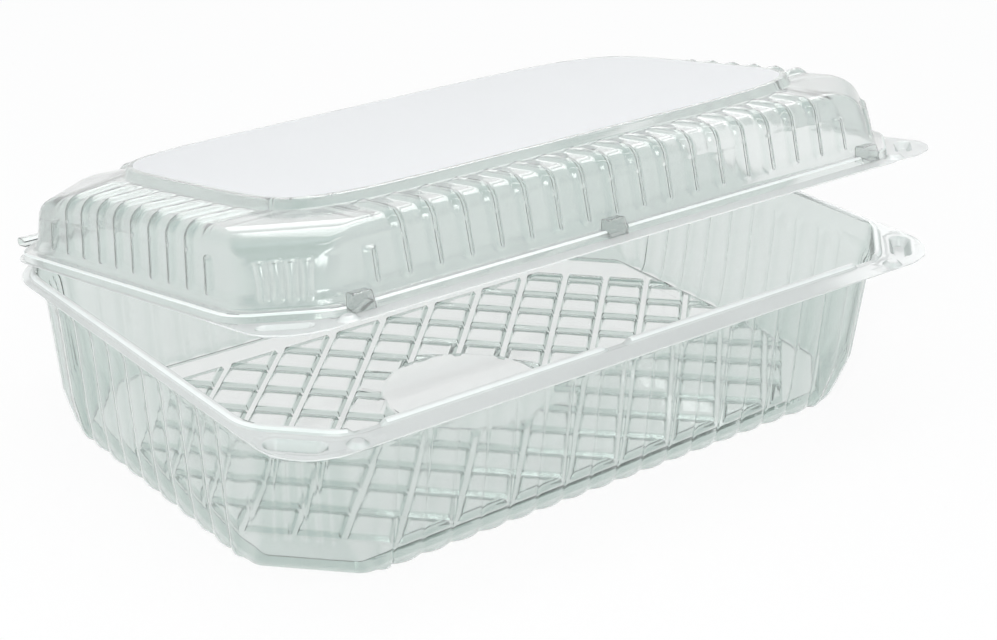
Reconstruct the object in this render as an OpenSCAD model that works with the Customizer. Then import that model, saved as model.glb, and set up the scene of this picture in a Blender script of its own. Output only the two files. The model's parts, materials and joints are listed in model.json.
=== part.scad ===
// Hinged clear food pack, formed from one thin sheet: a fluted tray, a ribbed lid and the crease
// that joins them. X runs along the pack, the hinge is at the back (+Y), and the foot stands on Z = 0.

/* [Pack] */
// Length of the flange, side to side
flange_l = 242; // [220:1:280]
// Width of the pack, front edge to the back of the hinge crease
flange_w = 176; // [164:1:200]
// Radius of the two front corners of the flange
corner_r = 17; // [12:0.5:20]
// Thickness of the formed sheet
sheet = 0.4; // [0.3:0.05:0.7]
// Angle that the lid stands open at rest
open_angle = 11; // [4:0.5:40]

/* [Mouth] */
// Flange outside the rim bead at the sides and the back
side_land = 3.6; // [3.4:0.1:6]
// Flange outside the rim bead at the front
front_land = 8.6; // [8:0.1:12]
// Leg of the 45 degree corners, measured on the rim bead
corner_cut = 19; // [17:0.5:24]
// Radius that blends each 45 degree corner into the sides
blend_r = 14; // [12.5:0.5:16]
// Height of the tray's rim bead above the flange
bead_h = 1.4; // [0.8:0.1:1.8]
// Half the width of the tray's rim bead at its base
bead_half = 1.3; // [1:0.1:1.5]
// Gap between the two flanges when the pack is closed
flange_gap = 0.3; // [0.2:0.05:0.6]

/* [Tray] */
// Height of the tray, foot to the underside of its flange
tray_h = 48.5; // [36:0.5:64]
// Spacing of the upright flutes and of the lid's ribs
flute_pitch = 10; // [8:0.5:12]
// Depth of the tray's flutes
flute_depth = 1.5; // [0.6:0.1:2]
// Depth of the small flutes on the 45 degree corners
corner_flute_depth = 0.8; // [0.3:0.1:1.2]
// Number of small flutes on each 45 degree corner
corner_flutes = 4; // [2:1:5]
// Plain band of wall above the flutes
tray_band = 4.5; // [3:0.5:8]
// Height of the bevel at the bottom of the wall
bevel_h = 12; // [8:0.5:16]
// How far the foot is drawn in from the rim bead
foot_inset = 7.2; // [6.5:0.1:8]
// How much longer the legs of the 45 degree corners are at the foot
foot_corner = 7; // [0:0.5:7]
// Height of the raised floor above the foot
floor_h = 2; // [1:0.1:4]
// Width of the ring that the tray stands on
foot_ring = 2; // [1.5:0.1:3]

/* [Floor] */
// Spacing of the floor pads across one diagonal
pad_pitch_u = 14.4; // [12:0.1:20]
// Spacing of the floor pads across the other diagonal
pad_pitch_v = 14.4; // [12:0.1:20]
// Width of the grooves between the floor pads
pad_groove = 2.8; // [2.5:0.1:5]
// Height of the floor pads
pad_h = 1.6; // [1:0.1:2.5]
// Radius of the plain round pad in the middle of the floor
disc_r = 27; // [15:1:40]
// Height of that round pad above the other pads
disc_rise = 0.2; // [0.1:0.1:1]

/* [Lid] */
// Height of the lid's shoulder above its flange
shoulder_h = 21.5; // [16:0.5:36]
// Height of the raised panel above the shoulder
panel_rise = 2.8; // [1.5:0.1:6]
// Length of the raised panel
panel_l = 196; // [186:1:200]
// Width of the raised panel
panel_w = 114; // [104:1:118]
// Squareness of the panel's outline, where 2 is an ellipse
panel_power = 5; // [4:0.5:7]
// Height of the lid's step over the tray's bead
step_h = 2.2; // [2:0.1:3]
// Plain band of wall between that step and the ribs
lid_band = 3.6; // [2:0.1:5]
// Depth of the lid's ribs
rib_depth = 1.4; // [0.6:0.1:1.8]
// Width of a rib's foot
rib_w = 5.2; // [4:0.1:6]
// Width of a rib's crest
rib_crest = 2.6; // [1.5:0.1:3]
// Radius of the lid's shoulder
shoulder_r = 4.5; // [3:0.5:6]
// How much longer the legs of the 45 degree corners are at the lid's shoulder
shoulder_corner = 12; // [0:0.5:12]

/* [Latch] */
// Distance of each oblong snap from the side edge of the flange
snap_from_side = 8.7; // [8:0.1:10]
// Distance of each oblong snap from the front edge of the flange
snap_from_front = 12; // [11:0.1:13]
// Length of the oblong snap in each front corner
snap_l = 17; // [13:0.5:18]
// Width of the oblong snap in the tray
snap_w = 7; // [6:0.5:7.5]
// Depth of the oblong snap in the tray
snap_d = 3; // [2:0.1:4]
// Play between the lid's snap and the tray's snap
snap_play = 0.5; // [0.4:0.05:0.8]
// Diameter of the round button beside each oblong snap
button_d = 6; // [4:0.5:6.5]
// Height of the round button
button_h = 1.2; // [0.6:0.1:1.6]
// Distance of the round buttons from the middle of the pack
button_x = 99; // [90:0.5:102]
// Length of each lug on the lid's front rim
lug_l = 7; // [4:0.5:9]
// Height of each lug above the lid's step
lug_h = 3; // [2:0.1:5]
// Place of the middle lug along the front rim
lug_mid_x = -8; // [-40:1:40]
// Distance of the two end lugs from the middle of the pack
lug_end_x = 92; // [70:1:94]

/* [Hinge] */
// Length of the hinge crease
hinge_l = 216; // [180:1:218]
// Inside radius of the hinge crease
hinge_r = 0.9; // [0.6:0.1:1.4]

/* [Hidden] */
tint = [0.78, 0.86, 0.83, 0.55];
// Driving plan: half sizes of the line that the rim bead follows
mouth_a = flange_l / 2 - side_land;
mouth_b = flange_w / 2 - front_land;
tangent = blend_r * tan(22.5);
arc_steps = 3;
// The flutes keep clear of the corners, which are longest at the foot or at the lid's shoulder
corner_room = corner_cut + tangent + max(foot_corner, shoulder_corner);
side_flutes = 2 * floor((mouth_b - corner_room) / flute_pitch);
front_flutes = 2 * floor((mouth_a - corner_room) / flute_pitch);
// Levels, and the axis that the lid swings about
rim_z = tray_h;
hinge_z = rim_z + sheet + flange_gap / 2;
hinge_y = flange_w / 2 - hinge_r - sheet;
lid_z = flange_gap / 2;
lid_top = shoulder_h + panel_rise;
// The lid's step clears the tray's bead by this much
bead_play = 0.45;
bead_flank = 0.6;
bead_crest = bead_half - bead_flank;
step_flank = 0.5;
step_half = bead_half + sheet + bead_play;
// The walls lean in by this share of their height
wall_draft = 0.06;
// The flutes and ribs swell to full depth over this height
flute_start = 2;
// The last bend of the tray's wall above the foot: how far out of the foot it lies, and how high
toe_out = 1;
toe_h = 3;
// The wall ends on the flat of the foot, where the floor overlaps it a little
foot_land = 1.3;
foot_join = foot_inset + foot_land;
floor_lap = 0.3;
// Lean of the panel's edge and of the floor pads' sides, taper of the lugs, and their corner radius
panel_lean = 0.5;
pad_lean = 0.5;
lug_taper = 1;
lug_round = 0.5;
// The ribs stop this far from the panel
bar_end = 2;
// Steps round the disc, round the small forms and round the fold
disc_steps = 60;
small_steps = 16;
fold_steps = 48;
eps = 0.01;

function mix(p, q, f) = p + (q - p) * f;
function flatten(list) = [for (part = list) each part];

// A station is a place round the rim: its point and outward direction in the +X +Y quarter, the share of
// a side flute and of a corner flute that it carries, the way it moves as the corner's legs grow, its
// place along the corner, and its quarter.
function station(p, n, side = 0, corner = 0, growth = [0, 0], along = -1) =
    [p, n, side, corner, growth, along, [1, 1]];
function flipped(s, quarter) = [for (i = [0:len(s) - 1]) i == len(s) - 1 ? quarter : s[i]];
function backwards(list) = [for (i = [len(list) - 1:-1:0]) list[i]];
function numbered(list) = [for (i = [0:len(list) - 1])
    station(list[i][0], list[i][1], 0, list[i][3], list[i][4], i / (len(list) - 1))];

arc_centres = [[mouth_a - blend_r, mouth_b - corner_cut - tangent],
               [mouth_a - corner_cut - tangent, mouth_b - blend_r]];
function arc(k) = [for (i = [0:arc_steps])
    let (turn = 45 * (k + i / arc_steps), n = [cos(turn), sin(turn)])
    station(arc_centres[k] + blend_r * n, n, 0, 0, [-k, k - 1])];
function corner_flute_row() =
    let (p = arc(0)[arc_steps][0], q = arc(1)[0][0], n = [cos(45), sin(45)])
    [for (i = [1:2 * corner_flutes - 1])
        let (f = i / (2 * corner_flutes))
        station(mix(p, q, f), n, 0, i % 2, [-f, f - 1])];
plain_corner = numbered(concat(arc(0), arc(1)));
fluted_corner = numbered(concat(arc(0), corner_flute_row(), arc(1)));

// One flute or rib as [distance along its pitch, share of its depth]
tray_flute = [[0.25, 1], [0.75, 1], [1, 0]];
lid_rib = [[0.5 - rib_w / flute_pitch / 2, 0], [0.5 - rib_crest / flute_pitch / 2, 1],
           [0.5 + rib_crest / flute_pitch / 2, 1], [0.5 + rib_w / flute_pitch / 2, 0]];
function flute_row(count, profile) =
    [for (j = [0:count / 2 - 1]) for (f = profile) [(j + f[0]) * flute_pitch, f[1]]];
function side_row(profile) =
    [for (f = flute_row(side_flutes, profile)) station([mouth_a, f[0]], [1, 0], f[1])];
function front_row(profile) =
    [for (f = flute_row(front_flutes, profile)) station([f[0], mouth_b], [0, 1], f[1])];

// The whole rim from one quarter of it, with a station on each axis where one is given
function all_round(q, on_x = [], on_y = []) = concat(
    on_x, q, on_y,
    [for (s = backwards(q)) flipped(s, [-1, 1])], [for (s = on_x) flipped(s, [-1, 1])],
    [for (s = q) flipped(s, [-1, -1])], [for (s = on_y) flipped(s, [-1, -1])],
    [for (s = backwards(q)) flipped(s, [1, -1])]);
function fluted_rim(profile) = all_round(
    concat(side_row(profile), fluted_corner, backwards(front_row(profile))),
    [station([mouth_a, 0], [1, 0])], [station([0, mouth_b], [0, 1])]);
plain_rim = all_round(plain_corner);
tray_rim = fluted_rim(tray_flute);
lid_rim = fluted_rim(lid_rib);

// A ring of points round the rim, drawn in by an inset, with the corner's legs longer by a given growth.
// The flutes swell along a direction tilted up from level by the given angle.
function ring(rim, inset, z, growth = 0, side = 0, corner = 0, tilt = 0) = [for (s = rim)
    let (swell = side * s[2] + corner * s[3],
         q = s[0] + growth * s[4] + s[1] * (swell * cos(tilt) - inset))
    [s[6].x * q.x, s[6].y * q.y, z + swell * sin(tilt)]];

// The edge of the flange: full round corners at the front, parallel to the rim bead at the back
function flange_ring(z) = [for (s = plain_rim)
    let (turn = 90 * s[5],
         front = [flange_l / 2 - corner_r, flange_w / 2 - corner_r] + corner_r * [cos(turn), sin(turn)],
         q = s[6].y < 0 ? front : s[0] + s[1] * side_land)
    [s[6].x * q.x, s[6].y * q.y, z]];

// The outline of the lid's panel, a rounded oblong, met by the ribs square to the sides
panel_a = panel_l / 2;
panel_b = panel_w / 2;
side_turn = asin(pow(side_flutes / 2 * flute_pitch / panel_b, panel_power / 2));
front_turn = acos(pow(front_flutes / 2 * flute_pitch / panel_a, panel_power / 2));
function panel_turn(s) =
    s[5] >= 0 ? mix(side_turn, front_turn, s[5]) :
    s[1].x == 1 ? asin(pow(s[0].y / panel_b, panel_power / 2)) :
    acos(pow(s[0].x / panel_a, panel_power / 2));
function panel_ring(grow, z, side = 0) = [for (s = lid_rim)
    let (turn = panel_turn(s))
    [s[6].x * (panel_a + grow) * pow(cos(turn), 2 / panel_power),
     s[6].y * (panel_b + grow) * pow(sin(turn), 2 / panel_power),
     z + side * s[2]]];

// A profile of [inset, z] points moved sideways by a distance, positive to the left of its run
function left_of(p, q) = let (d = (q - p) / norm(q - p)) [-d.y, d.x];
function moved(line, distance) = [for (i = [0:len(line) - 1])
    let (m = left_of(line[max(i - 1, 0)], line[max(i, 1)]),
         n = left_of(line[min(i, len(line) - 2)], line[min(i + 1, len(line) - 1)]))
    line[i] + distance * (m + n) / (1 + m * n)];

// A skin over a row of rings, closed by flat ends or round into a hoop
module skin(rings, hoop = false) {
    n = len(rings[0]);
    count = len(rings);
    strips = [for (k = [0:count - (hoop ? 1 : 2)]) for (i = [0:n - 1])
        let (a = k * n, b = (k + 1) % count * n, j = (i + 1) % n)
        each [[a + i, a + j, b + j], [a + i, b + j, b + i]]];
    ends = hoop ? [] : [[for (i = [n - 1:-1:0]) i], [for (i = [0:n - 1]) (count - 1) * n + i]];
    polyhedron(flatten(rings), concat(strips, ends), convexity = 10);
}

// A tapered block with round corners, from a plan size at the bottom to another at the top. A corner
// radius of half the width makes it an oblong.
module tapered(size, top, height, round) {
    hull() {
        slab(size, min(round, size.y / 2));
        translate([0, 0, height - eps]) slab(top, min(round, top.y / 2));
    }
}
module slab(size, round) {
    for (sx = [-1, 1], sy = [-1, 1])
        translate([sx * (size.x / 2 - round), sy * (size.y / 2 - round), 0])
            cylinder(h = eps, r = round, $fn = small_steps);
}

// Places shared by the two front corners: the oblong snap across the corner, the button beside it
snap_place = [flange_l / 2 - snap_from_side, flange_w / 2 - snap_from_front];
button_y = mouth_b + (step_half + front_land) / 2;
module at_snaps() {
    for (sx = [-1, 1]) translate([sx * snap_place.x, -snap_place.y, 0]) rotate(sx * 45) children();
}
module at_buttons() {
    for (sx = [-1, 1]) translate([sx * button_x, -button_y, 0]) children();
}

// The tray
flange_line = [[-side_land, rim_z], [-bead_half, rim_z], [-bead_crest, rim_z + bead_h],
               [bead_crest, rim_z + bead_h], [bead_half, rim_z - tray_band]];
wall_line = [[bead_half, rim_z - tray_band],
             [bead_half + flute_depth, rim_z - tray_band - flute_start],
             [bead_half + flute_depth + wall_draft * (tray_h - bevel_h), bevel_h],
             [foot_inset - toe_out, toe_h],
             [foot_inset, 0],
             [foot_join, 0]];
flutes_at = flute_depth * [0, 1, 1, 1, 0.7, 0];
corner_flutes_at = corner_flute_depth * [0, 1, 1, 0, 0, 0];
corner_grown = foot_corner * [0, 0, 0.4, 0.8, 1, 1];
floor_line = [[foot_join, 0], [foot_inset + foot_ring, 0], [foot_inset + foot_ring + floor_h, floor_h]];

module tray_flange() {
    top = moved(flange_line, sheet);
    last = len(flange_line) - 1;
    skin(concat(
        [flange_ring(rim_z)],
        [for (i = [1:last]) ring(plain_rim, flange_line[i].x, flange_line[i].y)],
        [ring(plain_rim, bead_half + sheet, flange_line[last].y)],
        [for (i = [last - 1:-1:1]) ring(plain_rim, top[i].x, top[i].y)],
        [flange_ring(rim_z + sheet)]), hoop = true);
}

module tray_wall() {
    inner = moved(wall_line, sheet);
    last = len(wall_line) - 1;
    skin(concat(
        [for (i = [0:last])
            ring(tray_rim, wall_line[i].x, wall_line[i].y, corner_grown[i], flutes_at[i],
                 corner_flutes_at[i])],
        [ring(tray_rim, foot_join, sheet, foot_corner)],
        [for (i = [last - 1:-1:1])
            ring(tray_rim, inner[i].x, inner[i].y, corner_grown[i], flutes_at[i],
                 corner_flutes_at[i])],
        [ring(tray_rim, bead_half + sheet, wall_line[0].y)]), hoop = true);
}

module floor_plate() {
    top = moved(floor_line, sheet);
    edge = foot_join - floor_lap;
    line = [[top[2].x, floor_h + sheet], top[1], [edge, sheet], [edge, 0], floor_line[1], floor_line[2]];
    skin([for (p = line) ring(plain_rim, p.x, p.y, foot_corner)]);
}

// The floor pads, each a low block with sloping sides, clipped by the edge of the floor, and the disc that
// covers the middle ones
module pads(shrink) {
    reach = mouth_a + mouth_b;
    count_u = ceil(reach / pad_pitch_u / 2);
    count_v = ceil(reach / pad_pitch_v / 2);
    base = [pad_pitch_u - pad_groove - 2 * shrink, pad_pitch_v - pad_groove - 2 * shrink];
    edge = foot_inset + foot_ring + floor_h + pad_groove / 2 + shrink;
    disc_h = pad_h + disc_rise;
    intersection() {
        rotate(-45)
            for (i = [-count_u:count_u], j = [-count_v:count_v])
                if (pad_inside(i * pad_pitch_u, j * pad_pitch_v))
                    translate([i * pad_pitch_u, j * pad_pitch_v, 0])
                        pad(base);
        skin([for (z = [pad_h + sheet, -sheet]) ring(plain_rim, edge, z, foot_corner)]);
    }
    cylinder(h = disc_h, r1 = disc_r - shrink, r2 = disc_r - shrink - pad_lean * disc_h, $fn = disc_steps);
}
module pad(base) {
    hull() {
        translate([-base.x / 2, -base.y / 2, 0])
            cube([base.x, base.y, eps]);
        translate([-base.x / 2 + pad_lean * pad_h, -base.y / 2 + pad_lean * pad_h, pad_h - eps])
            cube([base.x - 2 * pad_lean * pad_h, base.y - 2 * pad_lean * pad_h, eps]);
    }
}
// A pad is kept where its middle lies on the raised floor and the disc leaves some of it in sight
function pad_inside(u, v) =
    let (x = abs(u + v) * cos(45), y = abs(v - u) * cos(45), edge = foot_inset + foot_ring + floor_h)
    x < mouth_a - edge && y < mouth_b - edge
    && x + y < mouth_a + mouth_b - corner_cut - foot_corner - edge / cos(45)
    && norm([x, y]) > disc_r - norm([pad_pitch_u, pad_pitch_v]) / 2;

// The part of the back flange that runs to the crease, sloping to leave room for the fold
module web() {
    start = mouth_b + step_half + sheet;
    translate([-hinge_l / 2, 0, 0])
        rotate([90, 0, 90])
            linear_extrude(hinge_l)
                polygon([[start, flange_gap / 2 + eps], [hinge_y, hinge_r],
                         [hinge_y, hinge_r + sheet], [start, flange_gap / 2 + sheet - eps]]);
}

module tray() {
    color(tint)
    difference() {
        union() {
            tray_flange();
            tray_wall();
            floor_plate();
            translate([0, 0, floor_h + sheet - eps]) pads(0);
            translate([0, 0, hinge_z]) mirror([0, 0, 1]) web();
            translate([0, 0, rim_z - snap_d]) at_snaps()
                tapered([snap_l - snap_d, snap_w - snap_d], [snap_l, snap_w], snap_d + sheet - eps, snap_w);
            translate([0, 0, rim_z + eps]) at_buttons()
                cylinder(h = button_h + sheet - eps, d1 = button_d, d2 = button_d - button_h);
        }
        translate([0, 0, floor_h - eps]) pads(sheet);
        translate([0, 0, rim_z - snap_d + sheet]) at_snaps()
            tapered([snap_l - snap_d - 2 * sheet, snap_w - snap_d - 2 * sheet],
                    [snap_l - 2 * sheet, snap_w - 2 * sheet], snap_d + sheet, snap_w);
        translate([0, 0, rim_z - eps]) at_buttons()
            cylinder(h = button_h, d1 = button_d - 2 * sheet, d2 = button_d - button_h - 2 * sheet);
    }
}

// The lid, drawn closed with the underside of its flange a little above the hinge axis
rib_z = lid_z + sheet + step_h + lid_band;
step_line = [[-side_land, lid_z + sheet], [-step_half - sheet, lid_z + sheet],
             [-step_half + step_flank - sheet, lid_z + sheet + step_h], [bead_half, lid_z + sheet + step_h],
             [bead_half, rib_z]];
shoulder_z = lid_z + shoulder_h;
wall_foot = [bead_half + rib_depth, rib_z + flute_start];
wall_top = wall_foot + (shoulder_z - shoulder_r - wall_foot.y) * [wall_draft, 1];
lid_line = [[bead_half, rib_z],
            wall_foot,
            mix(wall_foot, wall_top, 0.5),
            wall_top,
            wall_top + shoulder_r * [1 - cos(45), sin(45)],
            wall_top + shoulder_r * [1, 1],
            wall_top + shoulder_r * [2, 1]];
ribs_at = rib_depth * [0, 1, 1, 1, 1, 1];
corner_ribs_at = corner_flute_depth * [0, 1, 1, 0, 0, 0];
corner_drawn = shoulder_corner * [0, 0, 0.15, 0.6, 0.8, 1];
rib_tilt = [0, 0, 0, 0, 45, 90];

module lid_flange() {
    under = moved(step_line, -sheet);
    last = len(step_line) - 1;
    skin(concat(
        [flange_ring(lid_z)],
        [for (i = [1:last - 1]) ring(plain_rim, under[i].x, under[i].y)],
        [ring(plain_rim, bead_half + sheet, step_line[last].y)],
        [for (i = [last:-1:1]) ring(plain_rim, step_line[i].x, step_line[i].y)],
        [flange_ring(lid_z + sheet)]), hoop = true);
}

module lid_crown() {
    under = moved(lid_line, -sheet);
    last = len(ribs_at) - 1;
    skin(concat(
        [panel_ring(-panel_lean * panel_rise, lid_z + lid_top),
         panel_ring(0, shoulder_z),
         panel_ring(bar_end, shoulder_z, rib_depth)],
        [for (i = [last:-1:0])
            ring(lid_rim, lid_line[i].x, lid_line[i].y, corner_drawn[i], ribs_at[i], corner_ribs_at[i],
                 rib_tilt[i])],
        [ring(lid_rim, bead_half + sheet, rib_z)],
        [for (i = [1:last])
            ring(lid_rim, under[i].x, under[i].y, corner_drawn[i], ribs_at[i], corner_ribs_at[i],
                 rib_tilt[i])],
        [panel_ring(bar_end - sheet, shoulder_z - sheet, rib_depth),
         panel_ring(-sheet, shoulder_z - sheet),
         panel_ring(-sheet - panel_lean * panel_rise, lid_z + lid_top - sheet)]));
}

module lugs(shrink) {
    depth = step_half + bead_half;
    for (x = [-lug_end_x, lug_mid_x, lug_end_x])
        translate([x, -mouth_b - step_half + depth / 2, 0])
            tapered([lug_l - 2 * shrink, depth - 2 * shrink],
                    [lug_l - lug_taper - 2 * shrink, depth - lug_taper - 2 * shrink], lug_h, lug_round);
}

module closed_lid() {
    snap_drop = snap_d - snap_play;
    lid_snap = [snap_l - 2 * sheet - 2 * snap_play, snap_w - 2 * sheet - 2 * snap_play];
    difference() {
        union() {
            lid_flange();
            lid_crown();
            web();
            translate([0, 0, lid_z - snap_drop + sheet]) at_snaps()
                tapered(lid_snap - [snap_d, snap_d], lid_snap, snap_drop - eps, snap_w);
            translate([0, 0, lid_z + eps]) at_buttons()
                cylinder(h = button_h + 2 * sheet, d1 = button_d + 2 * sheet, d2 = button_d);
            translate([0, 0, lid_z + step_h + eps]) lugs(0);
        }
        translate([0, 0, lid_z - snap_drop + 2 * sheet]) at_snaps()
            tapered(lid_snap - [snap_d + 2 * sheet, snap_d + 2 * sheet],
                    lid_snap - [2 * sheet, 2 * sheet], snap_drop + eps, snap_w);
        translate([0, 0, lid_z - eps]) at_buttons()
            cylinder(h = button_h + sheet, d1 = button_d + eps, d2 = button_d - 2 * sheet);
        translate([0, 0, lid_z + step_h - sheet]) lugs(sheet);
    }
}

module lid() {
    color(tint)
    translate([0, hinge_y, hinge_z])
        rotate([-open_angle, 0, 0])
            translate([0, -hinge_y, 0])
                closed_lid();
}

// The crease: the sheet folded round the hinge axis, from the tray's web to the lid's
module living_hinge() {
    reach = 4 * (hinge_r + sheet);
    color(tint)
    translate([-hinge_l / 2, hinge_y, hinge_z])
        rotate([90, 0, 90])
            linear_extrude(hinge_l)
                intersection() {
                    difference() {
                        circle(r = hinge_r + sheet, $fn = fold_steps);
                        circle(r = hinge_r, $fn = fold_steps);
                    }
                    polygon([[0, 0], [0, -reach], [reach, -reach], [reach, reach],
                             reach * [sin(open_angle), cos(open_angle)]]);
                }
}

tray();
lid();
living_hinge();
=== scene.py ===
# %% [markdown]
# # A clear hinged food pack
# The pack is one thin clear sheet, drawn hot over a mould: a fluted tray, a ribbed lid, and a crease at
# the back where the sheet folds. Blender gives it the looks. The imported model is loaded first, as a
# fixed frame, so that every piece made here lies where the solid lies.

# %% The frame
import json
import math

import bmesh
import bpy
import numpy as np
from mathutils import Matrix, Vector


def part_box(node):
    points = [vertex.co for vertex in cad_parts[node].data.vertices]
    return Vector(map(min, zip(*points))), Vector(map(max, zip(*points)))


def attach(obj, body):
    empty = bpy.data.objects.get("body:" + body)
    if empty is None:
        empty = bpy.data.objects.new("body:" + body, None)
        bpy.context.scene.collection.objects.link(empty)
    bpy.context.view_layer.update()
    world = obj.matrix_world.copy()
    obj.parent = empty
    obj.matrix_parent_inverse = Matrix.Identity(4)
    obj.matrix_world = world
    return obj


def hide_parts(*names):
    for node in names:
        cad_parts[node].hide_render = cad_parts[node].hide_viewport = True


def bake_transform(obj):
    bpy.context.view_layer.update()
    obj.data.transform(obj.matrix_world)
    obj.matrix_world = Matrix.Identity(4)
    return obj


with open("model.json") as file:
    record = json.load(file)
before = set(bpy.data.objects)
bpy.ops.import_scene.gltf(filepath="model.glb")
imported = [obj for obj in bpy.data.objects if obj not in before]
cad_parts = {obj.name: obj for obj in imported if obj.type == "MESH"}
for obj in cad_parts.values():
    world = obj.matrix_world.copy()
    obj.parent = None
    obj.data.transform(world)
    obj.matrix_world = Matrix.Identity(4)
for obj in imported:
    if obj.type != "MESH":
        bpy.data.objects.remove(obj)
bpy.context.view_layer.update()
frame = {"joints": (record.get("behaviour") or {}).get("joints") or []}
hinge = frame["joints"][0]

# %% [markdown]
# ## Sizes
# The flange, the hinge axis and the angle at which the lid stands open are read from the frame. The other
# sizes are the part's own, in millimetres. Everything below is worked out from these values.

# %% Sizes
MM = 0.001
DIAGONAL = math.sqrt(0.5)
TINY = 1e-6
tray_low, tray_high = (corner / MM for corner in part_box("tray"))
HALF_L = tray_high.x
FRONT = -tray_low.y
HINGE_Y, HINGE_Z = hinge["pos_m"][1] / MM, hinge["pos_m"][2] / MM
OPEN_ANGLE = math.radians(-hinge["range_deg"][0])
SHEET = 0.4  # thickness of the sheet
FLANGE_GAP = 0.3  # between the two flanges when the pack is shut
RIM_Z = HINGE_Z - SHEET - FLANGE_GAP / 2  # under face of the tray's flange
CORNER_R = 17  # round of the flange's front corners
SIDE_LAND = 3.6  # width of the flange at the sides and the back
FRONT_LAND = 8.6  # width of the flange at the front
MOUTH_A = HALF_L - SIDE_LAND  # half length of the mouth
MOUTH_B = FRONT - FRONT_LAND  # half width of the mouth
CORNER_CUT = 19  # leg of a 45 degree corner
BLEND_R = 14  # round between a side and its corner
PITCH = 10  # from flute to flute
TANGENT = BLEND_R * math.tan(math.pi / 8)  # what the round takes off a side
ARC_SIDE = MOUTH_B - CORNER_CUT - TANGENT  # where the round starts on a short side
ARC_FRONT = MOUTH_A - CORNER_CUT - TANGENT  # where the round starts on the front
SIDE_FLUTES = 4  # full flutes on half of a short side
FRONT_FLUTES = 8  # full flutes on half of the front
print(f"mouth {2 * MOUTH_A:.1f} by {2 * MOUTH_B:.1f} mm, hinge axis at y {HINGE_Y:.1f}, z {HINGE_Z:.2f} mm")
print(f"the lid stands open by {math.degrees(OPEN_ANGLE):.1f} degrees")

# %% [markdown]
# ## Stations round the rim
# Tray and lid share one plan: an oblong with 45 degree corners. A station is a place on that plan. It
# knows its point and outward direction, how far it is from the middle of its flute, and how it slides
# when the corner's legs grow longer, as they do towards the foot and towards the lid's shoulder. One
# quarter is worked out and mirrored, so that the four quarters match.

# %% Stations
PLAIN, ROW, SHORT, CORNER = range(4)
CORNER_FLUTES = 4
ARC_STEPS = 6


def row_stations(count, reach, offsets):
    """Distances along a side, with the distance from the flute's middle and the share of the slide."""
    full = [(j * PITCH + PITCH / 2 + o, o, 0.0, ROW) for j in range(count) for o in offsets]
    last = count * PITCH
    middle = last + PITCH / 2
    end = [(middle + o, o, (middle + o - last) / (reach - last), SHORT) for o in offsets]
    return full + end


def round_blend(middle, turns, slide):
    """Stations on the round between a side and its corner, at a row of turns about its middle."""
    out = []
    for turn in turns:
        c, s = math.cos(turn), math.sin(turn)
        out.append((middle[0] + BLEND_R * c, middle[1] + BLEND_R * s, c, s, *slide, 0, 1, PLAIN))
    return out


def corner_row(start, end, corner_offsets):
    """Stations on the small flutes of a corner, between the ends of its two rounds."""
    half = np.linalg.norm(end - start) / CORNER_FLUTES / 2
    out = []
    for j in range(CORNER_FLUTES):
        for o in corner_offsets:
            f = (j + (1 + o) / 2) / CORNER_FLUTES
            if f > 0:
                x, y = start + (end - start) * f
                out.append((x, y, DIAGONAL, DIAGONAL, -f, f - 1, o * half, half, CORNER))
    return out


def quarter(offsets, corner_offsets):
    """Stations of the +X +Y quarter: point, direction, slide, flute offset, flute half width, kind."""
    side = [(MOUTH_A, y, 1, 0, 0, -slide, o, PITCH / 2, kind)
            for y, o, slide, kind in row_stations(SIDE_FLUTES, ARC_SIDE, offsets)]
    front = [(x, MOUTH_B, 0, 1, -slide, 0, o, PITCH / 2, kind)
             for x, o, slide, kind in row_stations(FRONT_FLUTES, ARC_FRONT, offsets)]
    steps = range(ARC_STEPS + 1)
    side_turns = [math.pi / 4 * i / ARC_STEPS for i in steps]
    front_turns = [math.pi / 4 * (1 + i / ARC_STEPS) for i in steps]
    side_round = round_blend((MOUTH_A - BLEND_R, ARC_SIDE), side_turns, (0, -1))
    front_round = round_blend((ARC_FRONT, MOUTH_B - BLEND_R), front_turns, (-1, 0))
    end = np.array([ARC_FRONT, MOUTH_B - BLEND_R]) + BLEND_R * DIAGONAL
    flutes = corner_row(np.array(side_round[-1][:2]), end, corner_offsets)
    return np.array(side + side_round + flutes + front_round + front[::-1])


TRAY_OFFSETS = np.array([-5, -4.4, -3.4, -1.8, 0, 1.8, 3.4, 4.4])
LID_OFFSETS = np.array([-5, -3.4, -2.7, -2.2, -1.7, -1.2, 0, 1.2, 1.7, 2.2, 2.7, 3.4])
CORNER_OFFSETS = np.linspace(-1, 1, 7)[:-1]
print("stations on a quarter of the tray:", len(quarter(TRAY_OFFSETS, CORNER_OFFSETS)))

# %% [markdown]
# ## Rings from the rim
# A wall could be cut from a block, but a thin formed sheet is easier to build up from rings. A ring is the
# whole rim at one height: drawn in by an inset, with its corners made longer, and swollen where a flute or
# a rib stands out. The flange's edge is a ring too, with round corners at the front.

# %% The rim
STRAIGHT = 0.99  # a wall with more of x than this in its direction is a short side


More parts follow.
